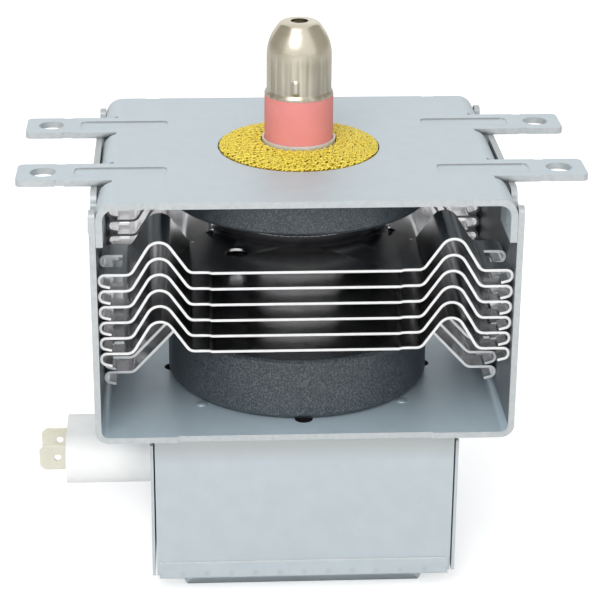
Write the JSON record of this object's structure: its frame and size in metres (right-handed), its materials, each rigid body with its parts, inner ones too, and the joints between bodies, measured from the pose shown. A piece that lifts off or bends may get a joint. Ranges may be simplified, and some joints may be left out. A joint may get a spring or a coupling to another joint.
{
  "type": "magnetron",
  "caption": "Microwave oven magnetron with folded steel yokes, ring magnets, stacked cooling fins, pink ceramic antenna and a filter box with two push-on tabs",
  "frame": {"origin": "centre of the four ear holes, on the antenna's axis, at the upper face of the mounting plate", "axes": "+Z out along the antenna, +X along the longer pitch of the ear holes, away from the capacitor, +Y from the front to the rear along the cooling air's way"},
  "size_m": [0.1272, 0.0764, 0.1267],
  "materials": {
    "galvanised_steel": "zinc coated sheet, satin",
    "box_steel": "zinc coated sheet, satin",
    "ferrite": "dark sintered ferrite, matt",
    "fin_aluminium": "bare rolled sheet, bright cut edges",
    "copper": "bare copper",
    "enamelled_copper": "enamelled copper wire",
    "pole_steel": "plain iron",
    "seal_steel": "nickel plated, satin",
    "pink_ceramic": "pink alumina, matt",
    "white_ceramic": "white alumina, matt",
    "nickel_cap": "drawn cap, faint vertical streaks",
    "gold_mesh": "knitted wire ring",
    "tungsten": "dark drawn wire",
    "white_resin": "moulded resin",
    "tinned_brass": "tinned push-on tabs"
  },
  "bodies": {
    "root": {"upper_yoke": "galvanised_steel", "lower_yoke": "galvanised_steel", "yoke_rivets": "galvanised_steel", "upper_magnet": "ferrite", "lower_magnet": "ferrite", "cooling_fin_1": "fin_aluminium", "cooling_fin_2": "fin_aluminium", "cooling_fin_3": "fin_aluminium", "cooling_fin_4": "fin_aluminium", "cooling_fin_5": "fin_aluminium", "cooling_fin_6": "fin_aluminium", "anode_cylinder": "copper", "anode_vanes": "copper", "upper_inner_strap": "copper", "upper_outer_strap": "copper", "lower_inner_strap": "copper", "lower_outer_strap": "copper", "upper_pole_piece": "pole_steel", "lower_pole_piece": "pole_steel", "output_seal_cup": "seal_steel", "input_seal_cup": "seal_steel", "antenna_ceramic": "pink_ceramic", "exhaust_sleeve": "seal_steel", "exhaust_tube": "copper", "antenna_cap": "nickel_cap", "antenna_lead": "copper", "rf_gasket": "gold_mesh", "gasket_ring": "galvanised_steel", "cathode_filament": "tungsten", "upper_end_hat": "tungsten", "lower_end_hat": "tungsten", "center_lead": "tungsten", "side_lead": "tungsten", "lead_spacer": "white_ceramic", "stem_ceramic": "white_ceramic", "stem_washers": "seal_steel", "choke_coil_front": "enamelled_copper", "choke_coil_rear": "enamelled_copper", "ferrite_core_front": "ferrite", "ferrite_core_rear": "ferrite", "filter_box": "box_steel", "filter_box_lid": "box_steel", "box_rivets": "galvanised_steel", "capacitor_body": "white_resin", "capacitor_flange": "galvanised_steel", "capacitor_rivets": "galvanised_steel", "terminal_front": "tinned_brass", "terminal_rear": "tinned_brass"}
  },
  "joints": []
}
